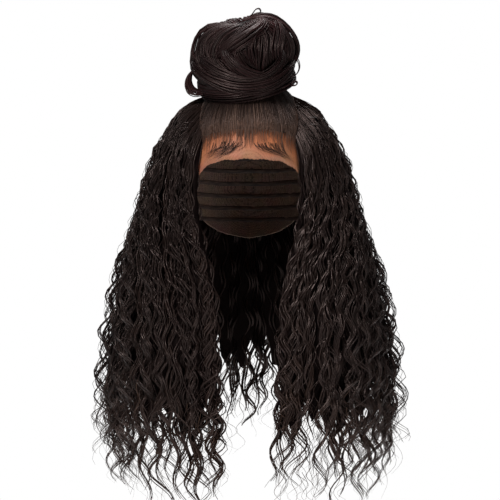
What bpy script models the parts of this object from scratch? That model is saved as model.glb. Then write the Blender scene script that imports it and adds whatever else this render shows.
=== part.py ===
"""Lace front wig, dressed half-up: a top bun over a swept crown, and long curly falls on three sides.

Metres, +Z up. The face opening looks along -Y, and +X is to the right of someone facing the wig.
The origin is the head's crown, on the inside of the cap. The head hangs below it, where the cap is open.
Angles go round the head from the middle of the face (0) over the right ear (90) to the nape (180).
Polar angles go down from the crown (0) to the head's widest level (90) and on towards the nape.
"""

import math

import bmesh
import bpy
import numpy as np

# The head that the cap fits: 526 mm round, a small size. HEAD_REACH is beyond it each way
HEAD_SIDE = 0.074
HEAD_FRONT = 0.089
HEAD_BACK = 0.097
CROWN_HEIGHT = 0.100
HEAD_REACH = 0.200

# The foundation
CAP_WALL = 0.0016
LACE_WALL = 0.0010
SEAM_Y = -0.012
SEAM_GAP = 0.0004
CAP_AROUND = 32
CAP_DOWN = 8

# Outer edge of the cap and its lace, as polar angles: brow, temple, ear tab, over the ear, nape
FOUNDATION_EDGE = (
    # angle, polar
    (0, 80),
    (25, 81),
    (40, 85),
    (50, 93),
    (58, 105),
    (66, 112),
    (75, 111),
    (84, 102),
    (98, 98),
    (112, 103),
    (130, 117),
    (150, 126),
    (180, 130),
)

# Where the swept crown ends: the hairline in front of the temples, and the parting behind them
PARTING = (
    # angle, polar
    (0, 65),
    (20, 66),
    (34, 68),
    (42, 70),
    (52, 60),
    (64, 47),
    (78, 38),
    (92, 36),
    (120, 38),
    (150, 43),
    (180, 46),
)
HAIR_CLEARANCE = 0.0010
# From the swept crown's edge to the falls' roots, in degrees
PARTING_GAP = 0.9

# The hair swept up to the bun. Two of every three columns are on a ridge, the third in a groove
SWEEP_PILE = 0.0062
SWEEP_RIDGE = 0.0016
SWEEP_RIDGES = 16
SWEEP_COLUMNS = 3 * SWEEP_RIDGES
SWEEP_THINNING = 0.35
SWEEP_HOLE_POLAR = 13
SWEEP_DOWN = 3
SWEPT_TOP = CAP_WALL + HAIR_CLEARANCE + SWEEP_PILE + SWEEP_RIDGE

# The bun and the rope of hair wound round its foot
BUN_CENTRE = (-0.003, -0.022, 0.031)
BUN_RADII = (0.0560, 0.0500, 0.0475)
BUN_LOCKS = 9
BUN_LEAN = 1.6
BUN_LOCK_DEPTH = 0.0040
BUN_AROUND = 36
BUN_DOWN = 17
BUN_LOBES = (
    # x, y, z of the direction from the bun's centre, swell as a share of the radius, spread
    (0.42, -0.10, 0.90, 0.13, 0.50),
    (0.85, -0.10, 0.35, 0.06, 0.40),
    (-0.75, 0.00, 0.60, 0.10, 0.50),
    (-0.26, -0.15, 1.00, -0.22, 0.31),
    (0.90, 0.00, -0.55, -0.10, 0.35),
    (0.05, -0.95, 0.25, 0.05, 0.45),
)
WRAP_RING_SIDE = 0.0465
WRAP_RING_DEPTH = 0.0500
WRAP_RADIUS = 0.0085
WRAP_TWISTS = 9
WRAP_STEPS = 30
WRAP_SIDES = 8
WRAP_LOBE = 0.22
SEAT_GAP = 0.0004
LOOP_RADIUS = 0.0024
LOOP_SIDES = 6
# The stray loop at the bun's left foot: it leaves the bun, turns down and ends beside the rope
BUN_LOOP = (
    # x, y, z
    (-0.0420, -0.028, 0.0200),
    (-0.0540, -0.030, 0.0205),
    (-0.0620, -0.031, 0.0165),
    (-0.0665, -0.031, 0.0090),
    (-0.0675, -0.031, 0.0005),
    (-0.0650, -0.030, -0.0065),
    (-0.0605, -0.029, -0.0090),
)

# The falls: the hollow that they leave for face, neck and shoulders, by height
HOLLOW = (
    # height, side, front, back
    (-0.100, 0.0770, 0.0920, 0.1000),
    (-0.150, 0.0800, 0.0780, 0.0930),
    (-0.200, 0.0920, 0.0700, 0.0880),
    (-0.250, 0.1040, 0.0690, 0.0900),
    (-0.300, 0.1120, 0.0700, 0.0940),
    (-0.350, 0.1170, 0.0700, 0.0960),
    (-0.400, 0.1190, 0.0690, 0.0970),
    (-0.470, 0.1180, 0.0680, 0.0970),
)
# How far the hair stands off that hollow, or off the head above it
PILE = (
    # height, pile
    (0.000, 0.0120),
    (-0.029, 0.0175),
    (-0.050, 0.0205),
    (-0.073, 0.0280),
    (-0.100, 0.0375),
    (-0.150, 0.0490),
    (-0.200, 0.0560),
    (-0.250, 0.0540),
    (-0.300, 0.0520),
    (-0.350, 0.0480),
    (-0.400, 0.0430),
    (-0.470, 0.0300),
)
# The edge of each side fall beside the face, as the angle where the hair begins
FACE_OPENING = (
    # height, angle
    (0.000, 43.5),
    (-0.120, 43.5),
    (-0.150, 39.0),
    (-0.190, 28.0),
    (-0.230, 21.0),
    (-0.300, 17.5),
    (-0.350, 16.0),
    (-0.470, 13.0),
)
# Where the locks end
HEM = (
    # angle, height
    (13, -0.456),
    (40, -0.455),
    (70, -0.442),
    (90, -0.416),
    (115, -0.408),
    (150, -0.396),
    (180, -0.388),
)
HEM_LEVEL = -0.400
HEM_STAGGER = 0.016
STAGGER_TURN = 2.3
STAGGER_START = 12
# The pile's share at the edge beside the face and at the root, and how far each takes to grow full
EDGE_PILE = 0.30
EDGE_SPREAD = 0.20
ROOT_PILE = 0.55
ROOT_SPREAD = 0.022
# The waves, which grow to their full width and depth over the first stretch
WAVE_LENGTH = 0.094
WAVE_WIDTH = 0.0058
WAVE_DEPTH = 0.0032
WAVE_FROM = 0.090
# How the waves' phase drifts round the hair: radians for each unit of position, swing, start
WAVE_DRIFT = (
    (7, 1.5, 1.0),
    (15, 0.8, 0.0),
)
# A lock's rows from root to tip, its pile from border to border, and how many of its rows hang free
LOCK_ROWS = 25
LOCK_VALLEY = 0.80
LOCK_PILES = (LOCK_VALLEY, 1.0, 1.0, LOCK_VALLEY)
TIP_ROWS = (5, 3, 6, 4)
TIP_SHARE = 0.14
# Positions round the hair go from the left edge at the face (-1) over the nape (0) to the right edge (1)
BACK_REACH = 0.42
FALL_GAP = 0.0030
SIDE_LOCKS = 10
BACK_LOCKS = 6

# Finishes: colour and roughness
LONG_HAIR = ((0.016, 0.010, 0.009, 1), 0.42)
SWEPT_HAIR = ((0.024, 0.014, 0.011, 1), 0.40)
BUN_HAIR = ((0.020, 0.010, 0.010, 1), 0.40)
LACE = ((0.42, 0.22, 0.13, 1), 0.60)
CAP_NET = ((0.030, 0.020, 0.016, 1), 0.80)


def clear_scene():
    for thing in list(bpy.data.objects):
        bpy.data.objects.remove(thing)


def material(name, finish):
    colour, roughness = finish
    made = bpy.data.materials.new(name)
    made.use_nodes = True
    shader = made.node_tree.nodes["Principled BSDF"]
    shader.inputs["Base Color"].default_value = colour
    shader.inputs["Roughness"].default_value = roughness
    shader.inputs["Metallic"].default_value = 0.0
    return made


def read_table(table, at, column=1):
    """The table's column at this value of its first column, on straight lines between the rows."""
    rows = sorted(table)
    return np.interp(at, [row[0] for row in rows], [row[column] for row in rows])


def depth_at(angle, front, back):
    """The front depth on the face's side of the ears and the back depth behind them."""
    return np.where(np.cos(angle) > 0, front, back)


def head_point(angle, polar, off=0.0):
    """A point on the head's ellipsoid grown by off, and its outward normal. Angles in radians."""
    side = HEAD_SIDE + off
    depth = depth_at(angle, HEAD_FRONT, HEAD_BACK) + off
    height = CROWN_HEIGHT + off
    place = np.array(
        [
            side * np.sin(polar) * np.sin(angle),
            -depth * np.sin(polar) * np.cos(angle),
            height * np.cos(polar),
        ]
    )
    normal = place / np.array([side**2, depth**2, height**2])
    place[2] -= CROWN_HEIGHT
    return place, normal / np.linalg.norm(normal)


def on_head(x, y, off):
    """The height of the head's ellipsoid, grown by off, above a point of the plan."""
    depth = (HEAD_FRONT if y < 0 else HEAD_BACK) + off
    share = 1 - (x / (HEAD_SIDE + off)) ** 2 - (y / depth) ** 2
    return -CROWN_HEIGHT + (CROWN_HEIGHT + off) * math.sqrt(share)


def add_object(name, mesh, finish=None):
    made = bpy.data.objects.new(name, mesh)
    bpy.context.scene.collection.objects.link(made)
    if finish:
        mesh.materials.append(material(name, finish))
    return made


def mesh_from(name, build):
    """A mesh whose bmesh is filled by build, with its normals made consistent."""
    work = bmesh.new()
    build(work)
    bmesh.ops.recalc_face_normals(work, faces=work.faces)
    mesh = bpy.data.meshes.new(name)
    work.to_mesh(mesh)
    work.free()
    return mesh


def shade(mesh, sharp_degrees=50):
    mesh.shade_smooth()
    mesh.set_sharp_from_angle(angle=math.radians(sharp_degrees))


def boolean(target, operand, operation):
    cut = target.modifiers.new(operation.lower() + "_" + operand.name, "BOOLEAN")
    cut.operation = operation
    cut.solver = "EXACT"
    cut.object = operand


def helper(name, mesh):
    made = add_object(name, mesh)
    made.hide_render = True
    made.display_type = "WIRE"
    return made


def bridge(work, first, second, closed=False):
    """Quads between two rows of vertices of the same length."""
    count = len(first)
    for k in range(count if closed else count - 1):
        after = (k + 1) % count
        work.faces.new((first[k], first[after], second[after], second[k]))


# Foundation: the lace panel from ear to ear in front, and the cap behind it


def dome(work):
    """The head's surface from the crown down to the foundation's edge, as an open sheet."""
    crown, _ = head_point(0.0, 0.0)
    pole = work.verts.new(crown)
    rings = []
    for down in range(1, CAP_DOWN + 1):
        ring = []
        for step in range(CAP_AROUND):
            degrees = step * 360 / CAP_AROUND
            edge = read_table(FOUNDATION_EDGE, min(degrees, 360 - degrees))
            place, _ = head_point(math.radians(degrees), math.radians(edge) * down / CAP_DOWN)
            ring.append(work.verts.new(place))
        rings.append(ring)
    for step in range(CAP_AROUND):
        work.faces.new((pole, rings[0][step], rings[0][(step + 1) % CAP_AROUND]))
    for upper, lower in zip(rings, rings[1:]):
        bridge(work, upper, lower, closed=True)


def half_space(name, y_low, y_high):
    """A block that holds one side of the seam over the head."""

    def block(work):
        bmesh.ops.create_cube(work, size=2 * HEAD_REACH)
        for vertex in work.verts:
            vertex.co.y = y_low if vertex.co.y < 0 else y_high

    return helper(name, mesh_from(name, block))


def foundation_piece(name, wall, block, finish):
    mesh = mesh_from(name, dome)
    piece = add_object(name, mesh, finish)
    thick = piece.modifiers.new("wall", "SOLIDIFY")
    thick.thickness = wall
    thick.offset = 1.0
    boolean(piece, block, "INTERSECT")
    shade(mesh)
    return piece


def build_foundation():
    front = half_space("front_of_seam", -HEAD_REACH, SEAM_Y - SEAM_GAP / 2)
    behind = half_space("behind_seam", SEAM_Y + SEAM_GAP / 2, HEAD_REACH)
    foundation_piece("lace_front", LACE_WALL, front, LACE)
    foundation_piece("wig_cap", CAP_WALL, behind, CAP_NET)


# Swept crown: hair combed from the hairline and the parting up to the bun


def parting_polar(degrees):
    return read_table(PARTING, min(degrees % 360, 360 - degrees % 360))


def swept_crown(work):
    """A ring of combed ridges over the head, open under the bun, with a rounded outer edge."""
    clear = CAP_WALL + HAIR_CLEARANCE
    inner_rows, outer_rows = [], []
    for row in range(SWEEP_DOWN + 1):
        share = row / SWEEP_DOWN
        inner_row, outer_row = [], []
        for column in range(SWEEP_COLUMNS):
            degrees = column * 360 / SWEEP_COLUMNS
            polar = SWEEP_HOLE_POLAR + share * (parting_polar(degrees) - SWEEP_HOLE_POLAR)
            ridge = SWEEP_RIDGE * (1 if column % 3 else -1)
            pile = (SWEEP_PILE + ridge) * (1 - SWEEP_THINNING * share**3)
            angle, polar = math.radians(degrees), math.radians(polar)
            place, normal = head_point(angle, polar, clear)
            inner_row.append(work.verts.new(place))
            outer_row.append(work.verts.new(place + normal * pile))
        inner_rows.append(inner_row)
        outer_rows.append(outer_row)
    for upper, lower in zip(inner_rows, inner_rows[1:]):
        bridge(work, upper, lower, closed=True)
    for upper, lower in zip(outer_rows, outer_rows[1:]):
        bridge(work, upper, lower, closed=True)
    bridge(work, inner_rows[0], outer_rows[0], closed=True)
    bridge(work, inner_rows[-1], outer_rows[-1], closed=True)


def build_swept_crown():
    mesh = mesh_from("swept_crown", swept_crown)
    shade(mesh)
    add_object("swept_crown", mesh, SWEPT_HAIR)


# Bun: a lobed knot of coiled hair, seated on the swept crown inside its rope


def swell(direction):
    """How much the bun's lobes and dents swell it in a direction."""
    total = 0.0
    for x, y, z, amount, spread in BUN_LOBES:
        axis = np.array([x, y, z]) / math.sqrt(x * x + y * y + z * z)
        total += amount * math.exp(-((1 - axis @ direction) / spread**2))
    return total


def bun_ball(work):
    """A ball with the bun's lobes, and locks that coil round it as raised spiral bands."""
    bmesh.ops.create_uvsphere(work, u_segments=BUN_AROUND, v_segments=BUN_DOWN, radius=1.0)
    for vertex in work.verts:
        way = np.array(vertex.co.normalized())
        turn = math.atan2(way[0], -way[1])
        rise = math.asin(max(-1.0, min(1.0, way[2])))
        coil = math.cos(BUN_LOCKS * rise + BUN_LEAN * math.sin(turn) + turn) * math.cos(rise)
        size = np.array(BUN_RADII) * (1 + swell(way)) + BUN_LOCK_DEPTH * coil
        vertex.co = np.array(BUN_CENTRE) + way * size


def tube_rings(work, points, radius_at, sides, closed):
    """Rings of vertices round a path. radius_at(step, turn) gives each point's distance from it."""
    points = np.array(points)
    count = len(points)
    rings = []
    for step in range(count):
        after = points[(step + 1) % count] if closed or step + 1 < count else points[step]
        before = points[step - 1] if closed or step > 0 else points[step]
        along = (after - before) / np.linalg.norm(after - before)
        across = np.cross(along, (0.0, 0.0, 1.0))
        across /= np.linalg.norm(across)
        up = np.cross(across, along)
        ring = []
        for side in range(sides):
            turn = 2 * math.pi * side / sides
            out = across * math.cos(turn) + up * math.sin(turn)
            ring.append(work.verts.new(points[step] + out * radius_at(step, turn)))
        rings.append(ring)
    return rings


def bun_loop(work):
    rings = tube_rings(work, BUN_LOOP, lambda step, turn: LOOP_RADIUS, LOOP_SIDES, False)
    for first, second in zip(rings, rings[1:]):
        bridge(work, first, second, closed=True)
    work.faces.new(rings[0])
    work.faces.new(rings[-1])


def wrap_ring(work, grown=0.0, lobes=True):
    """The rope of hair as a closed twisted ring that lies on the swept crown round the bun's foot."""
    widest = WRAP_RADIUS * (1 + WRAP_LOBE)
    off = SWEPT_TOP + widest + SEAT_GAP
    points = []
    for step in range(WRAP_STEPS):
        turn = 2 * math.pi * step / WRAP_STEPS
        x = BUN_CENTRE[0] + WRAP_RING_SIDE * math.sin(turn)
        y = BUN_CENTRE[1] - WRAP_RING_DEPTH * math.cos(turn)
        points.append((x, y, on_head(x, y, off)))

    def radius(step, turn):
        if not lobes:
            return widest + grown
        twist = turn - 2 * math.pi * WRAP_TWISTS * step / WRAP_STEPS
        return WRAP_RADIUS * (1 + WRAP_LOBE * math.cos(2 * twist)) + grown

    rings = tube_rings(work, points, radius, WRAP_SIDES, True)
    for first, second in zip(rings, rings[1:] + rings[:1]):
        bridge(work, first, second, closed=True)


def crown_form(work):
    """A ball just clear of the swept crown, which hollows the bun's underside to sit on it."""
    off = SWEPT_TOP + 2 * SEAT_GAP
    bmesh.ops.create_uvsphere(work, u_segments=BUN_AROUND, v_segments=BUN_DOWN, radius=1.0)
    for vertex in work.verts:
        vertex.co.x *= HEAD_SIDE + off
        vertex.co.y *= (HEAD_FRONT if vertex.co.y < 0 else HEAD_BACK) + off
        vertex.co.z = vertex.co.z * (CROWN_HEIGHT + off) - CROWN_HEIGHT


def wrap_room(work):
    """The rope's path as a smooth ring a little thicker than the rope, to cut its groove in the bun."""
    wrap_ring(work, grown=SEAT_GAP, lobes=False)


def build_bun():
    wrap = mesh_from("bun_wrap", wrap_ring)
    shade(wrap)
    add_object("bun_wrap", wrap, BUN_HAIR)
    groove = helper("wrap_room", mesh_from("wrap_room", wrap_room))
    loop = helper("loop_tube", mesh_from("loop_tube", bun_loop))
    seat = helper("crown_form", mesh_from("crown_form", crown_form))
    mesh = mesh_from("top_bun", bun_ball)
    bun = add_object("top_bun", mesh, BUN_HAIR)
    boolean(bun, groove, "DIFFERENCE")
    boolean(bun, seat, "DIFFERENCE")
    boolean(bun, loop, "UNION")
    shade(mesh)


# Falls: sheets of wavy locks that grow from the parting, hang round the neck and end in free tips


def hair_angle(position, height):
    """The angle round the head, in radians, of a position from -1 to 1 round the hair at a height."""
    opening = read_table(FACE_OPENING, height)
    return math.copysign(1, position or 1) * math.radians(180 - abs(position) * (180 - opening))


def hollow_point(angle, height):
    """A point on the hollow that the falls leave below the head's widest level, and its normal."""
    side = read_table(HOLLOW, height, 1)
    depth = depth_at(angle, read_table(HOLLOW, height, 2), read_table(HOLLOW, height, 3))
    place = np.array([side * math.sin(angle), -depth * math.cos(angle), height])
    normal = np.array([math.sin(angle) / side, -math.cos(angle) / depth, 0.0])
    return place, normal / np.linalg.norm(normal)


def root_polar(position):
    degrees = abs(math.degrees(hair_angle(position, 0.0)))
    return math.radians(parting_polar(degrees) + PARTING_GAP)


def under_side(position, run, shift):
    """The hair's underside at a distance run from its root, moved sideways by shift metres."""
    start = root_polar(position)
    on_scalp = (math.pi / 2 - start) * CROWN_HEIGHT
    if run < on_scalp:
        polar = start + run / CROWN_HEIGHT
        height = -CROWN_HEIGHT * (1 - math.cos(polar))
        angle = hair_angle(position, height) + shift / HEAD_SIDE
        return head_point(angle, polar, CAP_WALL + HAIR_CLEARANCE)
    height = -CROWN_HEIGHT - (run - on_scalp)
    side = float(read_table(HOLLOW, height, 1))
    return hollow_point(hair_angle(position, height) + shift / side, height)


def lock_length(position, stagger):
    """From the root to the tip, by way of the head's widest level."""
    on_scalp = (math.pi / 2 - root_polar(position)) * CROWN_HEIGHT
    degrees = abs(math.degrees(hair_angle(position, HEM_LEVEL)))
    return on_scalp - CROWN_HEIGHT - float(read_table(HEM, degrees)) - stagger


def wave_phase(position):
    return sum(swing * math.sin(rate * position + start) for rate, swing, start in WAVE_DRIFT)


def pile_at(position, run, height):
    """The hair's thickness: from the table, thinner towards the face and at the root."""
    near_edge = min(1.0, (1 - abs(position)) / EDGE_SPREAD)
    eased = near_edge * near_edge * (3 - 2 * near_edge)
    rooted = ROOT_PILE + (1 - ROOT_PILE) * min(1.0, run / ROOT_SPREAD)
    return float(read_table(PILE, height)) * (EDGE_PILE + (1 - EDGE_PILE) * eased) * rooted


def hair_points(position, run, share):
    """The points under and on top of the hair, with this share of its pile."""
    grown = min(1.0, run / WAVE_FROM)
    turn = 2 * math.pi * run / WAVE_LENGTH + wave_phase(position)
    under, normal = under_side(position, run, WAVE_WIDTH * grown * math.sin(turn))
    pile = pile_at(position, run, under[2]) * share + WAVE_DEPTH * grown * math.cos(turn)
    return np.array([under, under + normal * pile])


def fall(work, first_position, last_position, locks):
    """A sheet of locks. Neighbours share their border down to its split row, then hang free.

    Each row of a lock has four vertices on top, from border to border, and two under it.
    """
    borders = np.linspace(first_position, last_position, locks + 1)
    split_rows = [LOCK_ROWS - TIP_ROWS[border % len(TIP_ROWS)] for border in range(locks + 1)]
    staggers = HEM_STAGGER * np.sin(STAGGER_TURN * np.arange(-1, locks + 1) + STAGGER_START * borders[0])
    shared = {}

    def looseness(border, row):
        """How free a lock is at a border: 0 down to the split row, growing to 1 at the tip."""
        return max(0.0, (row - split_rows[border]) / (LOCK_ROWS - split_rows[border]))

    def border_run(border, row):
        stagger = staggers[border : border + 2].mean()
        return lock_length(borders[border], stagger) * row / LOCK_ROWS

    def shared_pair(border, row):
        """The vertices under and on top at a border that two locks share, made on first use."""
        if (border, row) not in shared:
            points = hair_points(borders[border], border_run(border, row), LOCK_VALLEY)
            shared[border, row] = [work.verts.new(point) for point in points]
        return shared[border, row]

    def lock_row(lock, row):
        """One row of a lock, drawn in towards its middle as it comes loose: vertices under, on top."""
        middle = borders[lock : lock + 2].mean()
        run = lock_length(middle, staggers[lock + 1]) * row / LOCK_ROWS
        centre = hair_points(middle, run, 1.0).mean(axis=0)

        def drawn_in(points, loose):
            keep = 1 - (1 - TIP_SHARE) * loose
            return [work.verts.new(centre + keep * (point - centre)) for point in points]

        def end_pair(border):
            loose = looseness(border, row)
            if loose == 0:
                return shared_pair(border, row)
            own_run = run * loose + border_run(border, row) * (1 - loose)
            return drawn_in(hair_points(borders[border], own_run, LOCK_VALLEY), loose)

        first, last = end_pair(lock), end_pair(lock + 1)
        loose = 0.5 * (looseness(lock, row) + looseness(lock + 1, row))
        inner = np.linspace(borders[lock], borders[lock + 1], len(LOCK_PILES))[1:-1]
        crest = [hair_points(at, run, share)[1] for at, share in zip(inner, LOCK_PILES[1:-1])]
        return [first[0], last[0]], [first[1], *drawn_in(crest, loose), last[1]]

    for lock in range(locks):
        rows = [lock_row(lock, row) for row in range(LOCK_ROWS + 1)]
        for row in range(LOCK_ROWS):
            (under, top), (under_next, top_next) = rows[row], rows[row + 1]
            bridge(work, top, top_next)
            bridge(work, under, under_next)
            for border, end in ((lock, 0), (lock + 1, -1)):
                if row >= split_rows[border] or border in (0, locks):
                    bridge(work, [under[end], top[end]], [under_next[end], top_next[end]])
        for under, top in (rows[0], rows[-1]):
            work.faces.new([under[0], *top, under[1]])


def build_falls():
    sections = (
        # name, first position, last position, locks
        ("fall_left", -1.0, -BACK_REACH - FALL_GAP, SIDE_LOCKS),
        ("fall_back_left", -BACK_REACH + FALL_GAP, -FALL_GAP, BACK_LOCKS),
        ("fall_back_right", FALL_GAP, BACK_REACH - FALL_GAP, BACK_LOCKS),
        ("fall_right", BACK_REACH + FALL_GAP, 1.0, SIDE_LOCKS),
    )
    for name, first, last, locks in sections:
        mesh = mesh_from(name, lambda work: fall(work, first, last, locks))
        shade(mesh)
        add_object(name, mesh, LONG_HAIR)


def main():
    clear_scene()
    build_foundation()
    build_swept_crown()
    build_bun()
    build_falls()


main()
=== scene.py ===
"""A lace front wig in long dark waves, dressed half-up with a bun on the crown.

Metres, +Z up, the face opening along -Y. The origin is the crown of the head that the cap fits.
Angles go round the head from the middle of the face (0) over the right ear (pi/2) to the nape (pi).
Polar angles go down from the crown (0) to the head's widest level (pi/2) and on towards the nape.
"""

import math

import bpy
import numpy as np
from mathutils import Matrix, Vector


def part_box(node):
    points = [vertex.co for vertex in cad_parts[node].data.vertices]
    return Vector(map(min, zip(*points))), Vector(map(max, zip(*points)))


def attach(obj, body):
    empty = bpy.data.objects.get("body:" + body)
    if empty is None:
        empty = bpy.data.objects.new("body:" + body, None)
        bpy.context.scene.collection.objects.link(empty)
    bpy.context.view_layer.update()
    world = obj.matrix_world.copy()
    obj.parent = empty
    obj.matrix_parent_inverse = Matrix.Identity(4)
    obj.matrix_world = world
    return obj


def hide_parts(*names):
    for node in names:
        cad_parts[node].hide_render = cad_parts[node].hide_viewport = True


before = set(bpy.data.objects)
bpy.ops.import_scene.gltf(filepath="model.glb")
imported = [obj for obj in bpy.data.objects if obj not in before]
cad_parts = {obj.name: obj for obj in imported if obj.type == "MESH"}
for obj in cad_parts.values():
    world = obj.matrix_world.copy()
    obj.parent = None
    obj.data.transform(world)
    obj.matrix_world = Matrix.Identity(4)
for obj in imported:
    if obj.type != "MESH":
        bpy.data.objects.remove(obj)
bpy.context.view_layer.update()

# Cap: a dome of fine stretch net, open for the face and neck. Machine-sewn rows of weft run round its
# inside, each a folded band of hair roots on a tape, stitched to the net along its middle.

HEAD_SIDE = 0.074
HEAD_FRONT = 0.089
HEAD_BACK = 0.097
CROWN = 0.100
CAP_WALL = 0.0016
NET_THREAD = (0.045, 0.028, 0.022, 1)
NET_GROUND = (0.260, 0.165, 0.118, 1)
WEFT_DARK = (0.018, 0.011, 0.010, 1)
WEFT_LIGHT = (0.090, 0.058, 0.047, 1)
WEFT_ROWS = 12
WEFT_TOP = 26
WEFT_BOTTOM = 116
WEFT_REACH = 96
WEFT_TALL = 0.0050
WEFT_THICK = 0.0011


def on_head(angle, polar, off):
    """Points and outward normals on the head's ellipsoid grown by off.

    x and y go round with sin and cos of the angle, on half widths that differ front and back, and z
    falls with the cosine of the polar angle. The normal is each coordinate over its half width squared.
    """
    side, height = HEAD_SIDE + off, CROWN + off
    depth = np.where(np.cos(angle) > 0, HEAD_FRONT, HEAD_BACK) + off
    x = side * np.sin(polar) * np.sin(angle)
    y = -depth * np.sin(polar) * np.cos(angle)
    z = height * np.cos(polar)
    normal = np.stack(np.broadcast_arrays(x / side**2, y / depth**2, z / height**2), -1)
    normal /= np.linalg.norm(normal, axis=-1, keepdims=True)
    return np.stack(np.broadcast_arrays(x, y, z - CROWN), -1), normal


def put_mesh(name, points, faces, finish):
    """A smooth mesh that rides on the wig, from points and a list of arrays of triangles or quads."""
    mesh = bpy.data.meshes.new(name)
    corners = np.concatenate([group.reshape(-1) for group in faces])
    sizes = np.concatenate([np.full(len(group), group.shape[1]) for group in faces])
    mesh.vertices.add(len(points))
    mesh.vertices.foreach_set("co", points.astype(np.float32).reshape(-1))
    mesh.loops.add(len(corners))
    mesh.loops.foreach_set("vertex_index", corners.astype(np.int32))
    mesh.polygons.add(len(sizes))
    mesh.polygons.foreach_set("loop_start", (np.cumsum(sizes) - sizes).astype(np.int32))
    mesh.polygons.foreach_set("use_smooth", np.ones(len(sizes), dtype=bool))
    mesh.update(calc_edges=True)
    mesh.materials.append(finish)
    piece = bpy.data.objects.new(name, mesh)
    bpy.context.scene.collection.objects.link(piece)
    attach(piece, "root")
    return piece


def put_attribute(piece, name, values):
    """Stores one number or vector for each point of the mesh."""
    kind, field = ("FLOAT", "value") if values.ndim == 1 else ("FLOAT_VECTOR", "vector")
    made = piece.data.attributes.new(name, kind, "POINT")
    made.data.foreach_set(field, values.astype(np.float32).reshape(-1))


def bundle(name, paths, outward, width, flatness, finish, tone, sides=3):
    """Many closed tubes in one mesh. Each is an ellipse of the given width carried along its path.

    paths and outward are arrays of strand, step and xyz. At each step the ellipse stands across the
    path, flatness times as thick along outward as it is wide. tone lightens each strand, or each step.
    Every strand has its own lane of the UV map, with its root at the bottom and its tip at the top.
    """
    strands, steps, _ = paths.shape
    along = np.gradient(paths, axis=1)
    along /= np.linalg.norm(along, axis=-1, keepdims=True) + 1e-12
    across = np.cross(along, outward)
    across /= np.linalg.norm(across, axis=-1, keepdims=True) + 1e-12
    lift = np.cross(across, along)
    turn = 2 * np.pi * (np.arange(sides) + 0.25) / sides
    ring = across[:, :, None] * np.cos(turn)[:, None]
    ring = ring + lift[:, :, None] * (flatness * np.sin(turn))[:, None]
    half = 0.5 * np.broadcast_to(width, (strands, steps))
    points = paths[:, :, None] + half[:, :, None, None] * ring

    index = np.arange(strands * steps * sides).reshape(strands, steps, sides)
    beside = np.roll(index, -1, axis=2)
    walls = np.stack([index[:, :-1], index[:, 1:], beside[:, 1:], beside[:, :-1]], -1)
    ends = [index[:, 0], index[:, -1, ::-1]]
    piece = put_mesh(name, points.reshape(-1, 3), [walls.reshape(-1, 4), *ends], finish)

    shape = (strands, steps, sides)
    run = np.linalg.norm(np.diff(paths, axis=1, prepend=paths[:, :1]), axis=-1).cumsum(axis=1)
    grain = (
        np.cos(turn) + 3.7 * np.arange(strands)[:, None, None],
        np.sin(turn),
        40 * run[:, :, None],
    )
    grain = np.stack([np.broadcast_to(part, shape) for part in grain], -1)
    tone = np.asarray(tone, dtype=float).reshape(strands, -1, 1)
    reach = np.linspace(0, 1, steps)[None, :, None]
    put_attribute(piece, "grain", grain.reshape(-1, 3))
    put_attribute(piece, "reach", np.broadcast_to(reach, shape).reshape(-1))
    put_attribute(piece, "tone", np.broadcast_to(tone, shape).reshape(-1))

    lane = np.arange(strands)[:, None, None, None]
    side = 0.9 * (np.arange(sides)[:, None] + np.array([0, 0, 1, 1])) / sides
    step = (np.arange(steps - 1)[:, None, None] + np.array([0, 1, 1, 0])) / (steps - 1)
    uv = [np.stack(np.broadcast_arrays((lane + side) / strands, step), -1).reshape(-1, 2)]
    for corner in (np.arange(sides), np.arange(sides)[::-1]):
        end = (np.arange(strands)[:, None] + 0.9 * corner / sides) / strands
        uv.append(np.stack(np.broadcast_arrays(end, float(corner[0] > 0)), -1).reshape(-1, 2))
    layer = piece.data.uv_layers.new(name="OFBake")
    layer.data.foreach_set("uv", np.concatenate(uv).astype(np.float32).reshape(-1))
    return piece


def new_material(name):
    """A material, its shader, a maker of its nodes, and a maker of links between their sockets."""
    material = bpy.data.materials.new(name)
    material.use_nodes = True
    tree = material.node_tree

    def node(kind, sockets=(), **settings):
        made = tree.nodes.new("ShaderNode" + kind)
        for key, value in settings.items():
            setattr(made, key, value)
        for key, value in dict(sockets).items():
            made.inputs[key].default_value = value
        return made

    return material, tree.nodes["Principled BSDF"], node, tree.links.new


def ramp(node, link, value, stops):
    """A colour ramp on a value, with (place, colour) stops."""
    made = node("ValToRGB")
    elements = made.color_ramp.elements
    while len(elements) < len(stops):
        elements.new(0.5)
    for element, (place, colour) in zip(elements, stops):
        element.position = place
        element.color = colour
    link(value, made.inputs["Fac"])
    return made.outputs["Color"]


def net_material(name, cell, thread, ground, roughness):
    """Net: threads round cells of the given size in metres, over a clouded ground."""
    material, shader, node, link = new_material(name)
    place = node("TexCoord").outputs["Object"]
    cells = node("TexVoronoi", {"Scale": 1 / cell, "Randomness": 0.4}, feature="DISTANCE_TO_EDGE")
    cloud = node("TexNoise", {"Scale": 55.0, "Detail": 4.0})
    link(place, cells.inputs["Vector"])
    link(place, cloud.inputs["Vector"])
    weave = ramp(node, link, cells.outputs["Distance"], [(0.0, thread), (0.22, ground)])
    mix = node("Mix", {0: 0.45}, data_type="RGBA", blend_type="MULTIPLY")
    bump = node("Bump", {"Strength": 0.5, "Distance": 0.0004})
    link(weave, mix.inputs[6])
    link(cloud.outputs["Color"], mix.inputs[7])
    link(cells.outputs["Distance"], bump.inputs["Height"])
    link(mix.outputs[2], shader.inputs["Base Color"])
    link(bump.outputs["Normal"], shader.inputs["Normal"])
    shader.inputs["Roughness"].default_value = roughness
    return material


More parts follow.
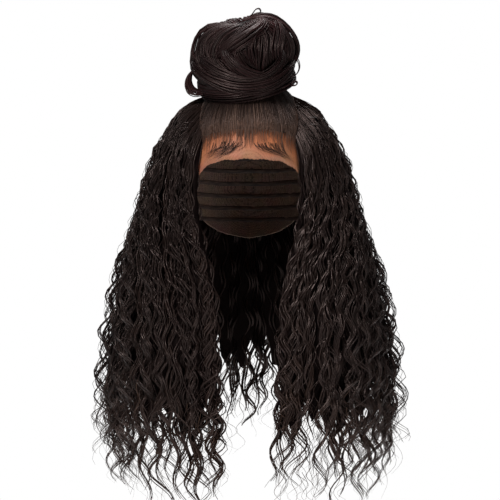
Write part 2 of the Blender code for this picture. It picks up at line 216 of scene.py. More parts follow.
def weft_material():
    """Dark folded tape with the fine upright grain of the hair roots sewn into it."""
    material, shader, node, link = new_material("weft_tape")
    grain = node("TexNoise", {"Scale": 2.5, "Detail": 3.0})
    bump = node("Bump", {"Strength": 0.6, "Distance": 0.0005})
    link(node("Attribute", attribute_name="grain").outputs["Vector"], grain.inputs["Vector"])
    streaks = ramp(node, link, grain.outputs["Fac"], [(0.35, WEFT_DARK), (0.7, WEFT_LIGHT)])
    link(streaks, shader.inputs["Base Color"])
    link(grain.outputs["Fac"], bump.inputs["Height"])
    link(bump.outputs["Normal"], shader.inputs["Normal"])
    shader.inputs["Roughness"].default_value = 0.6
    return material


def weft_rows():
    """Flat bands that lie inside the cap at even polar angles, each from ear to ear behind the seam."""
    polar = np.radians(np.linspace(WEFT_TOP, WEFT_BOTTOM, WEFT_ROWS))[:, None]
    reach = np.radians(WEFT_REACH) * np.where(np.degrees(polar) > 96, 0.72, 1.0)
    angle = math.pi + reach * np.linspace(-1, 1, 61)[None]
    sag = 0.010 * np.cos(2 * angle) + 0.003 * np.sin(9 * angle + 40 * polar)
    paths, outward = on_head(angle, polar + sag, -1.0 * WEFT_THICK)
    return bundle(
        "weft_rows", paths, outward, WEFT_TALL, WEFT_THICK / WEFT_TALL, weft_material(),
        np.full(WEFT_ROWS, 0.5), sides=8,
    )


cap_net = net_material("cap_net", 0.0016, NET_THREAD, NET_GROUND, 0.85)
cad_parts["wig_cap"].data.materials[0] = cap_net
weft_rows()


# Lace front: sheer skin-brown tulle from ear tab to ear tab, sewn to the cap over the crown and cut by
# hand along its free edge. Hairs are knotted into it one by one, densest where the hairline begins.

LACE_WALL = 0.0008
LACE_SEAM = 0.0122
LACE_EDGE = (
    # angle and polar in degrees, round the free edge
    (0, 80),
    (25, 81),
    (40, 85),
    (50, 93),
    (58, 105),
    (66, 112),
    (75, 111),
    (84, 102),
)
LACE_THREAD = (0.262, 0.092, 0.043, 1)
LACE_GROUND = (0.520, 0.222, 0.116, 1)
LACE_ORANGE = (0.410, 0.125, 0.046, 1)


def padded_sheet(name, under, top, finish, grain, tone, wrapped=False):
    """A closed solid between two grids of points, its top and its underside. grain is for the top grid.

    A wrapped grid meets itself round its columns. Its other edges are joined by a wall. The faces are
    turned round where the solid's volume, summed from the corners, says that they point inwards.
    """
    rows, columns, _ = top.shape
    upper = np.arange(rows * columns).reshape(rows, columns)
    if wrapped:
        upper = np.concatenate([upper, upper[:, :1]], axis=1)
    lower = upper + rows * columns

    def quads(grid):
        return np.stack([grid[:-1, :-1], grid[:-1, 1:], grid[1:, 1:], grid[1:, :-1]], -1).reshape(-1, 4)

    edges = [np.stack([lower[0], upper[0]]), np.stack([upper[-1], lower[-1]])]
    if not wrapped:
        edges += [np.stack([upper[:, 0], lower[:, 0]]), np.stack([lower[:, -1], upper[:, -1]])]
    faces = np.concatenate([quads(upper), quads(lower)[:, ::-1], *(quads(edge) for edge in edges)])
    points = np.concatenate([top.reshape(-1, 3), under.reshape(-1, 3)])
    first, second, third, fourth = (points[faces[:, k]] for k in range(4))
    volume = np.sum(first * (np.cross(second, third) + np.cross(third, fourth)))
    piece = put_mesh(name, points, [faces if volume > 0 else faces[:, ::-1]], finish)
    grain = np.broadcast_to(grain, top.shape).reshape(-1, 3)
    reach = np.broadcast_to(np.linspace(0, 1, rows)[:, None], (rows, columns)).reshape(-1)
    put_attribute(piece, "grain", np.concatenate([grain, grain]))
    put_attribute(piece, "reach", np.concatenate([reach, reach]))
    put_attribute(piece, "tone", np.full(len(points), tone))
    return piece


def lace_material():
    """Tulle in the net material, more orange and darker where the hairline's knots crowd together."""
    material = net_material("lace_net", 0.0009, LACE_THREAD, LACE_GROUND, 0.6)
    tree = material.node_tree
    shader = tree.nodes["Principled BSDF"]
    weave = shader.inputs["Base Color"].links[0].from_socket
    reach = tree.nodes.new("ShaderNodeAttribute")
    reach.attribute_name = "reach"
    place = tree.nodes.new("ShaderNodeTexCoord")
    cloud = tree.nodes.new("ShaderNodeTexNoise")
    cloud.inputs["Scale"].default_value = 90.0
    tree.links.new(place.outputs["Object"], cloud.inputs["Vector"])
    uneven = tree.nodes.new("ShaderNodeMath")
    uneven.operation = "MULTIPLY_ADD"
    uneven.inputs[1].default_value = 0.22
    tree.links.new(cloud.outputs["Fac"], uneven.inputs[0])
    tree.links.new(reach.outputs["Fac"], uneven.inputs[2])
    span = tree.nodes.new("ShaderNodeMapRange")
    span.inputs["From Min"].default_value = 0.90
    span.inputs["From Max"].default_value = 1.08
    tree.links.new(uneven.outputs[0], span.inputs["Value"])
    mix = tree.nodes.new("ShaderNodeMix")
    mix.data_type = "RGBA"
    mix.inputs[6].default_value = LACE_ORANGE
    tree.links.new(span.outputs["Result"], mix.inputs[0])
    tree.links.new(weave, mix.inputs[7])
    tree.links.new(mix.outputs[2], shader.inputs["Base Color"])
    return material


def lace_sheet():
    """The head's surface from the seam's plane to the free edge, which is the table rounded off.

    The seam's polar angle has the sine of its distance from the ears over the head's depth there.
    """
    angle = np.linspace(-1, 1, 161)[None] * math.acos(LACE_SEAM / HEAD_FRONT) * 0.999
    table = np.array(LACE_EDGE)
    around = np.abs(np.degrees(angle) + np.linspace(-4, 4, 9)[:, None])
    edge = np.radians(np.interp(around, table[:, 0], table[:, 1]).mean(axis=0))[None]
    edge = edge + np.radians(0.25 * np.sin(110 * angle) + 0.3 * np.sin(23 * angle))
    seam = np.arcsin(np.clip(LACE_SEAM / (HEAD_FRONT * np.cos(angle)), 0, 1))
    share = np.linspace(0, 1, 25)[:, None]
    polar = seam + share * (np.minimum(edge, math.pi - seam) - seam)
    under, _ = on_head(angle, polar, 0.0001)
    top, _ = on_head(angle, polar, LACE_WALL)
    return padded_sheet("lace_sheet", under, top, lace_material(), top * 50, 0.5)


lace = lace_sheet()
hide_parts("lace_front")


# Swept crown: the hair in front of and above the parting, combed flat from the hairline to the bun.
# An undercoat closes the form, and fine strands lie on it, brown and thin where they are knotted in.

PARTING = (
    # angle in degrees, polar in degrees
    (0, 65),
    (20, 66),
    (34, 68),
    (42, 70),
    (52, 60),
    (64, 47),
    (78, 38),
    (92, 36),
    (120, 38),
    (150, 43),
    (180, 46),
)
HAIR_CLEARANCE = 0.0010
SWEEP_PILE = 0.0066
SWEEP_THINNING = 0.35
SWEEP_TOP = 15
SWEEP_STRANDS = 700
SWEEP_STEPS = 12
SWEEP_WIDTH = 0.0016
HAIRLINE_STRANDS = 420
HAIRLINE_STEPS = 10
HAIRLINE_REACH = 46
HAIR_BLACK = (0.0026, 0.0014, 0.0015, 1)
HAIR_DARK = (0.0052, 0.0028, 0.0027, 1)
HAIR_BROWN = (0.030, 0.017, 0.013, 1)
# Painted sheen: the ash-brown lights that the crown strands' tone gathers in a band over the front of the head.
PAINTED_SHEEN_ASH = (0.225, 0.136, 0.101, 1)
ROOT_BROWN = (0.105, 0.044, 0.023, 1)
SHEEN_BROWN = (1.0, 0.76, 0.70, 1)


def hair_material(name, stops, lights, gloss, shine=0.36):
    """Hair: stops colour a strand from root to tip, and its streaky grain mixes in the lights.

    The lights' share is the grain's noise times the strand's tone, and the noise also roughens it.
    """
    material, shader, node, link = new_material(name)
    grain = node("TexNoise", {"Scale": 2.2, "Detail": 4.0})
    link(node("Attribute", attribute_name="grain").outputs["Vector"], grain.inputs["Vector"])
    reach = node("Attribute", attribute_name="reach").outputs["Fac"]
    tone = node("Attribute", attribute_name="tone").outputs["Fac"]
    streak = node("Math", operation="MULTIPLY")
    link(grain.outputs["Fac"], streak.inputs[0])
    link(tone, streak.inputs[1])
    mix = node("Mix", {7: lights}, data_type="RGBA")
    link(streak.outputs[0], mix.inputs[0])
    link(ramp(node, link, reach, stops), mix.inputs[6])
    rough = node("MapRange", {"To Min": gloss - 0.06, "To Max": gloss + 0.18})
    link(grain.outputs["Fac"], rough.inputs["Value"])
    bump = node("Bump", {"Strength": 0.4, "Distance": 0.0003})
    link(grain.outputs["Fac"], bump.inputs["Height"])
    link(mix.outputs[2], shader.inputs["Base Color"])
    link(rough.outputs["Result"], shader.inputs["Roughness"])
    link(bump.outputs["Normal"], shader.inputs["Normal"])
    shader.inputs["Specular IOR Level"].default_value = shine
    shader.inputs["Specular Tint"].default_value = SHEEN_BROWN
    return material


def parting_polar(angle):
    """The polar angle of the hairline or the parting at an angle round the head."""
    round_head = np.degrees(np.abs((angle + math.pi) % (2 * math.pi) - math.pi))
    table = np.array(PARTING)
    return np.radians(np.interp(round_head, table[:, 0], table[:, 1]))


def sweep_lift(share):
    """The combed hair's thickness, thinning with the cube of the share of the way to the hairline."""
    return SWEEP_PILE * (1 - SWEEP_THINNING * share**3)


def swept_undercoat(finish):
    """A ring over the head between the bun's foot and the hairline, with a shallow comb furrow."""
    angle = np.linspace(0, 2 * math.pi, 144, endpoint=False)[None]
    share = np.linspace(0, 1, 16)[:, None]
    edge = parting_polar(angle) - np.radians(4.0)
    polar = np.radians(SWEEP_TOP) + share * (edge - np.radians(SWEEP_TOP))
    under, normal = on_head(angle, polar, CAP_WALL + HAIR_CLEARANCE)
    furrow = 0.0005 * np.sin(48 * angle + 3 * np.sin(5 * angle)) + 0.0003 * np.sin(17 * angle)
    lift = 0.82 * sweep_lift(share) + furrow
    lift[-1] = 0.0010
    lift[-2] *= 0.75
    grain = np.stack(np.broadcast_arrays(angle * 40, 0 * angle, 2.5 * share), -1)
    return padded_sheet(
        "swept_undercoat", under, under + normal * lift[..., None], finish, grain, 0.5, wrapped=True
    )


def combed_strands(name, seed, angle, root, steps, width, finish, tone):
    """Strands from their roots straight up the head to under the bun, rising onto the undercoat."""
    rng = np.random.default_rng(seed)
    share = np.linspace(1, 0, steps)[None]
    top = np.radians(SWEEP_TOP)
    polar = top + share * (root[:, None] - top)
    sway = 0.012 * np.sin(2.2 * math.pi * share + rng.uniform(0, 6.3, angle.shape)[:, None])
    skin, normal = on_head(angle[:, None] + sway * share * (1 - share) * 4, polar, CAP_WALL)
    level = rng.uniform(0.84, 1.08, angle.shape)[:, None]
    inside = (parting_polar(angle)[:, None] - polar) / np.radians(7)
    rise = np.clip(inside, 0, 1) ** 0.7
    lift = 0.0002 + (HAIR_CLEARANCE + sweep_lift(share) * level) * rise
    swell = np.clip((1 - share) / 0.3, 0, 1)
    thick = width * (0.25 + 0.75 * swell) * rng.uniform(0.6, 1.15, angle.shape)[:, None]
    # Painted shade under the bun: on the part of each strand nearer the bun, the tone drops to 0.12 of itself.
    shaded = tone[:, None] * (0.12 + 0.88 * np.clip((share - 0.61) / 0.24, 0, 1))
    return bundle(name, skin + normal * lift[..., None], normal, thick, 0.7, finish, shaded)


def swept_strands(finish):
    """Combed strands all round, rooted in a narrow band along the hairline and the parting."""
    rng = np.random.default_rng(11)
    step = 2 * math.pi / SWEEP_STRANDS
    angle = step * (np.arange(SWEEP_STRANDS) + rng.uniform(-0.5, 0.5, SWEEP_STRANDS))
    off_middle = np.degrees((angle + math.pi) % (2 * math.pi) - math.pi)
    front = np.exp(-((off_middle / 36) ** 4))
    ragged = 1 + 2.5 * (1 - front)
    root = parting_polar(angle) + np.radians(ragged * rng.uniform(-3.4, 0.4, SWEEP_STRANDS))
    # The tone varies at random, and its bell curve round the middle of the face is painted sheen, lightest at
    # the front.
    tone = rng.uniform(0.45, 1.4, SWEEP_STRANDS) * (0.20 + 0.80 * np.exp(-((off_middle / 34) ** 2)))
    return combed_strands("swept_strands", 12, angle, root, SWEEP_STEPS, SWEEP_WIDTH, finish, tone)


def hairline_strands(finish):
    """Fine strands rooted below the hairline, ever fewer with the square of the distance down."""
    rng = np.random.default_rng(13)
    angle = np.radians(rng.uniform(-HAIRLINE_REACH, HAIRLINE_REACH, HAIRLINE_STRANDS))
    root = parting_polar(angle) + np.radians(12.0 * rng.uniform(0, 1, HAIRLINE_STRANDS) ** 1.5 - 2.0)
    tone = rng.uniform(0.3, 0.9, HAIRLINE_STRANDS)
    return combed_strands("hairline_strands", 14, angle, root, HAIRLINE_STEPS, 0.0008, finish, tone)


# The combed hair's lights are the painted sheen colour.
swept_hair = hair_material(
    "swept_hair", [(0.0, ROOT_BROWN), (0.14, HAIR_BROWN), (0.30, HAIR_DARK), (1.0, HAIR_BLACK)], PAINTED_SHEEN_ASH, 0.36
)
undercoat_hair = hair_material(
    "undercoat_hair", [(0.0, HAIR_BLACK), (1.0, HAIR_BLACK)], HAIR_DARK, 0.6, shine=0.08
)
swept_base = swept_undercoat(undercoat_hair)
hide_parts("swept_crown")
swept_strands(swept_hair)
hairline_strands(swept_hair)


# Baby hair: short fine strands knotted below the hairline and laid on the lace in soft outward swoops.

BABY_STRANDS = 54
BABY_STEPS = 16
BABY_WIDTH = 0.0006


def baby_hair(finish):
    """Each strand leaves its root down the lace and sweeps to the side, flattening with a square root.

    The angle moves from root to tip evenly, and a small wave runs along it.
    """
    rng = np.random.default_rng(17)
    handed = np.where(np.arange(BABY_STRANDS) % 2 == 0, 1.0, -1.0)[:, None]
    spread = rng.uniform(0, 1, (BABY_STRANDS, 1))
    root = 4 + 28 * spread + rng.uniform(-3, 3, spread.shape)
    tip = root + (rng.uniform(36, 44, spread.shape) - root) * rng.uniform(0.5, 1, spread.shape)
    share = np.linspace(0, 1, BABY_STEPS)[None]
    start = 70.5 + rng.uniform(-1.5, 2.0, spread.shape)
    drop = rng.uniform(7.5, 12.5, spread.shape) * (0.72 + 0.28 * spread)
    curl = rng.uniform(0.2, 1.0, spread.shape) * np.sin(math.pi * share * rng.uniform(1.2, 2.6, spread.shape))
    angle = np.radians(handed * (root + (tip - root) * share**1.35))
    polar = np.radians(start + drop * share**0.7 + curl)
    skin, normal = on_head(angle, polar, LACE_WALL)
    lift = 0.0004 + 0.0012 * np.sin(math.pi * share) * rng.uniform(0.2, 1, spread.shape)
    width = BABY_WIDTH * (1.05 - share) * rng.uniform(0.7, 1.4, spread.shape)
    return bundle(
        "baby_hair", skin + normal * lift[..., None], normal, width, 0.8, finish, np.full(BABY_STRANDS, 0.3)
    )


baby_brown = hair_material("baby_hair", [(0.0, HAIR_DARK), (1.0, HAIR_BROWN)], HAIR_BROWN, 0.5)
baby_hair(baby_brown)


# Bun: locks of the swept hair wound over each other into a lobed knot. Each is a smooth band of strands
# that dips under its neighbours at both ends, over a dark core that closes the form.

BUN_CENTRE = np.array([-0.003, -0.022, 0.031])
BUN_RADII = np.array([0.0560, 0.0500, 0.0475])
BUN_LOBES = (
    # x, y, z of the direction from the bun's centre, swell as a share of the radius, spread
    (0.42, -0.10, 0.90, 0.13, 0.50),
    (0.85, -0.10, 0.35, 0.06, 0.40),
    (-0.75, 0.00, 0.68, 0.12, 0.50),
    (-0.26, -0.15, 1.00, -0.33, 0.30),
    (0.80, 0.00, 0.62, -0.07, 0.35),
    (0.90, 0.00, -0.55, -0.10, 0.35),
    (0.05, -0.95, 0.25, 0.05, 0.45),
    (0.00, -0.80, -0.60, 0.20, 0.46),
    (0.00, 0.80, -0.60, 0.22, 0.46),
    (-0.85, 0.00, -0.50, 0.12, 0.35),
)
BUN_BANDS = (
    # half width in degrees, rise, then stops as degrees to the right of the face and up
    (15, 0.905, ((16, 80), (-30, 66), (-76, 48), (-91, 14), (-79, -18),
                 (-56, -40), (-22, -51), (16, -51), (50, -41))),
    (14, 0.885, ((12, 72), (-24, 52), (-58, 30), (-67, 0), (-53, -24),
                 (-26, -38), (8, -43), (40, -37), (68, -24))),
    (14, 0.870, ((10, 70), (-10, 46), (-34, 22), (-40, -4), (-24, -26), (6, -36), (36, -32), (60, -18))),
    (14, 0.860, ((0, 74), (4, 48), (-6, 22), (-14, 0), (-4, -20), (14, -30), (38, -28), (60, -14))),
    (13, 0.875, ((-4, 72), (12, 48), (24, 22), (22, -4), (22, -22), (42, -31), (66, -27))),
    (14, 0.890, ((-8, 70), (24, 56), (50, 32), (60, 4), (54, -18), (36, -33), (8, -41))),
    (15, 0.915, ((-20, 78), (20, 68), (62, 56), (86, 28), (89, 3), (80, -19), (60, -37), (30, -46))),
    (12, 0.862, ((6, 76), (8, 50), (10, 24), (6, 2), (12, -20), (34, -32))),
    (11, 0.900, ((10, 84), (34, 62), (20, 38), (0, 20), (-22, 2), (-44, -14), (-66, -28))),
    (10, 0.900, ((70, 82), (64, 56), (48, 28), (38, 2), (46, -18), (66, -32))),
    (12, 0.880, ((0, 60), (-34, 42), (-54, 16), (-50, -8), (-32, -24), (-8, -30), (18, -26))),
    (17, 0.880, ((58, -28), (92, -26), (130, -24), (170, -22), (210, -24), (250, -26), (298, -34))),
    (18, 0.870, ((70, 8), (105, 12), (145, 6), (190, 10), (235, 14), (285, 16))),
    (17, 0.880, ((50, 40), (95, 44), (140, 38), (185, 42), (230, 46), (272, 46), (310, 52))),
    (19, 0.885, ((-30, 64), (20, 80), (110, 74), (155, 46), (190, 22), (215, 4))),
    (19, 0.885, ((30, 64), (-40, 80), (-122, 72), (-166, 44), (-196, 20), (-220, 0))),
    (13, 0.900, ((-84, -30), (-44, -54), (0, -60), (42, -56), (84, -34), (112, -28))),
    (9, 1.140, ((-76, -8), (-58, -20), (-34, -32), (-6, -39), (26, -35), (50, -22), (70, -8))),
    (7, 1.075, ((-62, -4), (-46, -13), (-26, -24), (-2, -31), (22, -26), (38, -12), (46, 6))),
    (6, 1.050, ((-26, 6), (-20, -6), (-8, -18), (10, -27), (32, -30), (54, -26), (72, -16))),
)
BAND_STRANDS = 36
BAND_STEPS = 30
BAND_WIDTH = 0.0019
# The hair's own red tint in the bun's streaks, and painted warm sheen on the bun's top where the tone rises.
BUN_RED_AND_TOP_SHEEN = (0.075, 0.022, 0.024, 1)


def bun_size(way):
    """The bun's half widths along unit directions: the ellipsoid's, swollen by each lobe's bell curve."""
    swell = np.ones(way.shape[:-1])
    for x, y, z, amount, spread in BUN_LOBES:
        axis = np.array([x, y, z]) / math.sqrt(x * x + y * y + z * z)
        swell = swell + amount * np.exp(-(1 - way @ axis) / spread**2)
    return swell[..., None] * BUN_RADII


def above_crown(points, clear):
    """Raises points that would sink into the swept crown to just above it."""
    off = CAP_WALL + HAIR_CLEARANCE + SWEEP_PILE + clear
    depth = np.where(points[..., 1] < 0, HEAD_FRONT, HEAD_BACK) + off
    share = 1 - (points[..., 0] / (HEAD_SIDE + off)) ** 2 - (points[..., 1] / depth) ** 2
    least = -CROWN + (CROWN + off) * np.sqrt(np.clip(share, 0.05, 1))
    raised = points.copy()
    raised[..., 2] = np.maximum(points[..., 2], least)
    return raised


def through(stops, steps):
    """A smooth path through the stops: on each span a cubic, whose slope at each stop is half the way
    between that stop's neighbours."""
    stops = np.asarray(stops, dtype=float)
    stops = np.concatenate([2 * stops[:1] - stops[1:2], stops, 2 * stops[-1:] - stops[-2:-1]])
    place = np.linspace(0, len(stops) - 3, steps)
    span = np.minimum(place.astype(int), len(stops) - 4)
    share = (place - span)[:, None]
    before, first, second, after = (stops[span + k] for k in range(4))
    bend = 2 * before - 5 * first + 4 * second - after
    twist = 3 * first - before - 3 * second + after
    return 0.5 * (2 * first + (second - before) * share + bend * share**2 + twist * share**3)


def bun_core(finish):
    """The lobed ball under the bands, closed at both poles and flattened where it sits on the crown."""
    turn = np.linspace(0, 2 * math.pi, 72, endpoint=False)[None]
    rise = np.linspace(-1, 1, 37)[:, None] * (math.pi / 2 - 0.02)
    way = np.stack(
        np.broadcast_arrays(np.cos(rise) * np.sin(turn), -np.cos(rise) * np.cos(turn), np.sin(rise)), -1
    )
    coil = 0.0012 * np.cos(26 * rise + 2 * np.sin(turn))
    points = BUN_CENTRE + way * (0.855 * bun_size(way) + coil[..., None])
    points = above_crown(points, 0.0003).reshape(-1, 3)
    grid = np.arange(37 * 72).reshape(37, 72)
    beside = np.roll(grid, -1, axis=1)
    walls = np.stack([grid[:-1], beside[:-1], beside[1:], grid[1:]], -1).reshape(-1, 4)
    piece = put_mesh("bun_core", points, [walls, grid[:1, ::-1], grid[-1:]], finish)
    grain = np.stack(np.broadcast_arrays(3 * np.cos(turn), 3 * np.sin(turn), 22 * rise), -1)
    put_attribute(piece, "grain", grain.reshape(-1, 3))
    put_attribute(piece, "reach", np.full(len(points), 0.5))
    put_attribute(piece, "tone", np.full(len(points), 0.6))
    return piece


def bun_bands(finish):
    """Strands side by side along each band's path, domed across it and drawn in at its two ends."""
    rng = np.random.default_rng(23)
    share = np.linspace(0, 1, BAND_STEPS)
    body = np.sin(math.pi * share) ** 0.5
    paths, outward, tones = [], [], []
    for half_width, rise, stops in BUN_BANDS:
        turn, up = np.radians(np.array(stops, dtype=float)).T
        spots = np.stack([np.cos(up) * np.sin(turn), -np.cos(up) * np.cos(turn), np.sin(up)], -1)
        way = through(spots, BAND_STEPS)
        way /= np.linalg.norm(way, axis=-1, keepdims=True)
        beside = np.cross(way, np.gradient(way, axis=0))
        beside /= np.linalg.norm(beside, axis=-1, keepdims=True)
        lane = np.linspace(-1, 1, BAND_STRANDS)[:, None] + rng.uniform(-0.08, 0.08, (BAND_STRANDS, 1))
        wander = 0.16 * np.sin(6 * share + rng.uniform(0, 6.3, (BAND_STRANDS, 1)))
        across = math.radians(half_width) * (lane + wander) * (0.35 + 0.65 * body)
        strand_way = way + across[..., None] * beside
        strand_way /= np.linalg.norm(strand_way, axis=-1, keepdims=True)
        dome = 0.080 * (1 - lane**2) + rng.uniform(-0.016, 0.020, (BAND_STRANDS, 1))
        level = rise - 0.005 + dome * body - 0.20 * (1 - body)
        paths.append(above_crown(BUN_CENTRE + strand_way * bun_size(strand_way) * level[..., None], 0.0008))
        outward.append(strand_way)
        tones.append(rng.uniform(0.0, 0.3, (BAND_STRANDS, 1)) + 0 * share)
    paths, outward, tones = (np.concatenate(group) for group in (paths, outward, tones))
    # Painted warm sheen: the red lights grow with height over the bun's top, from 0.05 m up and in full from
    # 0.07 m.
    tones = tones + rng.uniform(0.2, 1.1, (len(paths), 1)) * np.clip((paths[..., 2] - 0.050) / 0.02, 0, 1)
    width = BAND_WIDTH * (0.25 + 0.75 * body) * rng.uniform(0.55, 1.15, (len(paths), 1))
    return bundle("bun_bands", paths, outward, width, 0.6, finish, tones)


# Its red lights are partly the hair's own tint and partly painted sheen on the bun's top.
bun_hair = hair_material(
    "bun_hair", [(0.0, HAIR_BLACK), (0.5, HAIR_DARK), (1.0, HAIR_BLACK)], BUN_RED_AND_TOP_SHEEN, 0.36, shine=0.28
)
core = bun_core(undercoat_hair)
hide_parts("top_bun")
bun_bands(bun_hair)


# Bun wrap: a length of hair wound once round the bun's foot, loosely twisted, its end tucked in behind.

WRAP_SIDE = 0.0440
WRAP_DEPTH = 0.0460
WRAP_RADIUS = 0.0088
WRAP_TALL = 0.0120
WRAP_STRANDS = 70
WRAP_STEPS = 60


def wrap_strands(finish):
    """Strands that spiral slowly round a ring on the swept crown, each at its own depth in the twist."""
    rng = np.random.default_rng(31)
    turn = math.pi + np.linspace(0, 2 * math.pi, WRAP_STEPS)[None]
    x = BUN_CENTRE[0] + WRAP_SIDE * np.sin(turn)
    y = BUN_CENTRE[1] - (WRAP_DEPTH + 0.0035 * np.clip(np.cos(turn), 0, 1)) * np.cos(turn)
    off = CAP_WALL + HAIR_CLEARANCE + SWEEP_PILE + WRAP_RADIUS + 0.0006
    depth = np.where(y < 0, HEAD_FRONT, HEAD_BACK) + off
    z = -CROWN + (CROWN + off) * np.sqrt(1 - (x / (HEAD_SIDE + off)) ** 2 - (y / depth) ** 2)
    centre = np.stack([x, y, z + 0.0035 * np.sin(turn) + WRAP_TALL - WRAP_RADIUS], -1)
    out = np.stack([np.sin(turn), -np.cos(turn), 0 * turn], -1)
    up = np.array([0.0, 0.0, 1.0])
    start = 2 * math.pi * np.arange(WRAP_STRANDS)[:, None] / WRAP_STRANDS
    lobe = 1 + 0.10 * np.cos(3 * start) + rng.uniform(-0.14, 0.06, start.shape)
    twist = start + 0.2 * turn - 0.65 * np.cos(turn + 0.3)
    away = np.cos(twist)[..., None] * out + np.sin(twist)[..., None] * up
    around = WRAP_RADIUS * np.cos(twist)[..., None] * out + WRAP_TALL * np.sin(twist)[..., None] * up
    paths = centre + lobe[..., None] * around
    tone = rng.uniform(0.0, 0.25, WRAP_STRANDS)
    return bundle("wrap_strands", paths, away, 0.0019, 0.6, finish, tone)


wrap = wrap_strands(bun_hair)
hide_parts("bun_wrap")


# Stray ends of the bun: a thick loop at its left foot, a thin one under its right lobe, and small curls.

STRAYS = (
    # strands, spread of the strands, then stops in metres
    (24, 0.0034, ((-0.040, -0.030, 0.020), (-0.052, -0.032, 0.0195), (-0.0595, -0.033, 0.0155),
                  (-0.0640, -0.033, 0.008), (-0.0648, -0.033, 0.0000), (-0.0620, -0.033, -0.0065),
                  (-0.055, -0.035, -0.010), (-0.046, -0.042, -0.010))),
    (2, 0.0007, ((0.046, -0.040, 0.030), (0.0520, -0.040, 0.024), (0.0535, -0.040, 0.016),
                 (0.0500, -0.042, 0.009), (0.0430, -0.044, 0.0065), (0.034, -0.050, 0.008))),
    (4, 0.0007, ((0.026, -0.062, -0.010), (0.036, -0.058, -0.006), (0.043, -0.054, -0.002),
                 (0.0480, -0.052, 0.0010), (0.0510, -0.052, 0.0000), (0.0500, -0.053, -0.0030),
                 (0.0455, -0.054, -0.0035), (0.0450, -0.054, -0.0005), (0.0490, -0.053, 0.0015))),
    (2, 0.0005, ((0.000, -0.026, 0.070), (0.0045, -0.028, 0.0765), (0.0075, -0.030, 0.0800),
                 (0.0110, -0.030, 0.0805), (0.0125, -0.029, 0.0775), (0.0100, -0.028, 0.0755),
                 (0.0150, -0.026, 0.0760))),
    (3, 0.0008, ((-0.047, -0.040, 0.058), (-0.0545, -0.038, 0.052), (-0.0595, -0.036, 0.043),
                 (-0.0600, -0.036, 0.033), (-0.056, -0.038, 0.024))),
)
STRAY_STEPS = 26


def bun_strays(finish):
    """Each stray is a few strands that wind loosely round one smooth path through its stops."""
    rng = np.random.default_rng(37)
    paths = []
    for strands, spread, stops in STRAYS:
        path = through(stops, STRAY_STEPS)
        start = 2 * math.pi * np.arange(strands)[:, None] / strands
        wind = start + np.linspace(0, 1.6, STRAY_STEPS)[None]
        away = np.stack([np.cos(wind), np.sin(wind), np.sin(wind + 1.5)], -1)
        paths.append(path[None] + spread * away * rng.uniform(0.6, 1.2, (strands, 1, 1)))
    paths = np.concatenate(paths)
    outward = np.broadcast_to(np.array([0.0, -1.0, 0.12]), paths.shape)
    ends = np.clip(6 * np.sin(math.pi * np.linspace(0, 1, STRAY_STEPS)), 0.2, 1)[None]
    return bundle("bun_strays", paths, outward, 0.0012 * ends, 0.8, finish, np.full(len(paths), 0.4))


bun_strays(bun_hair)


# Falls: the long hair below the parting. A dark undercoat hangs from the cap, and locks of wavy strands
# cover it inside and out, waving together within a lock and apart between locks, down to loose tips.

HOLLOW = (
    # height, side, front, back of the hollow that the falls leave
    (-0.470, 0.1180, 0.0680, 0.0970),
    (-0.400, 0.1190, 0.0690, 0.0970),
    (-0.350, 0.1170, 0.0700, 0.0960),
    (-0.300, 0.1120, 0.0700, 0.0940),
    (-0.250, 0.1040, 0.0690, 0.0900),
    (-0.200, 0.0920, 0.0700, 0.0880),
    (-0.150, 0.0800, 0.0780, 0.0930),
    (-0.100, 0.0770, 0.0920, 0.1000),
)
PILE = (
    # height, how far the hair stands off the hollow or the head
    (-0.470, 0.0300),
    (-0.400, 0.0430),
    (-0.350, 0.0480),
    (-0.300, 0.0520),
    (-0.250, 0.0540),
    (-0.200, 0.0560),
    (-0.150, 0.0490),
    (-0.100, 0.0375),
    (-0.073, 0.0280),
    (-0.050, 0.0205),
    (-0.029, 0.0175),
    (0.000, 0.0120),
)
FACE_OPENING = (
    # height, angle in degrees where the hair begins beside the face
    (-0.470, 13.0),
    (-0.350, 16.0),
    (-0.300, 17.5),
    (-0.230, 21.0),
    (-0.190, 28.0),
    (-0.150, 39.0),
    (-0.120, 43.5),
    (0.000, 43.5),
)
HEM = (
    # angle in degrees, height where the longest strands end
    (13, -0.460),
    (40, -0.459),
    (70, -0.446),
    (90, -0.424),
    (115, -0.412),
    (150, -0.400),
    (180, -0.392),
)
EDGE_PILE = 0.30
EDGE_SPREAD = 0.20
ROOT_PILE = 0.55
ROOT_SPREAD = 0.022
BACK_REACH = 0.42
WAVE_SHORT = 0.029
WAVE_LONG = 0.050
LOCK_STEPS = 88
STRAND_WIDTH = 0.0029
OUTER_STRANDS = 6
INNER_STRANDS = 4
LOOSE_LOCKS = 16
LOOSE_STRANDS = 30
LOOSE_STEPS = 76
TEMPLE_STRANDS = 22
FRIZZ_CURLS = 120
FRIZZ_STEPS = 20
CROWN_BROWN = (0.015, 0.0082, 0.0068, 1)
TIP_BROWN = (0.026, 0.015, 0.011, 1)
FRIZZ_BROWN = (0.075, 0.042, 0.026, 1)


def in_table(table, at, column=1):
    """The table's column at values of its first column, on straight lines between the rows."""
    table = np.array(table)
    return np.interp(at, table[:, 0], table[:, column])


def hair_angle(position, height):
    """The angle round the head: positions -1 to 1 go from one face edge round the nape to the other."""
    degrees = 180 - np.abs(position) * (180 - in_table(FACE_OPENING, height))
    return np.where(position < 0, -1, 1) * np.radians(degrees)


def hair_length(position):
    """How far the longest strand runs from its root over the widest level of the head to the hem."""
    start = parting_polar(hair_angle(position, 0.0)) + np.radians(0.9)
    hem = in_table(HEM, np.abs(np.degrees(hair_angle(position, -0.4))))
    return (math.pi / 2 - start) * CROWN - CROWN - hem


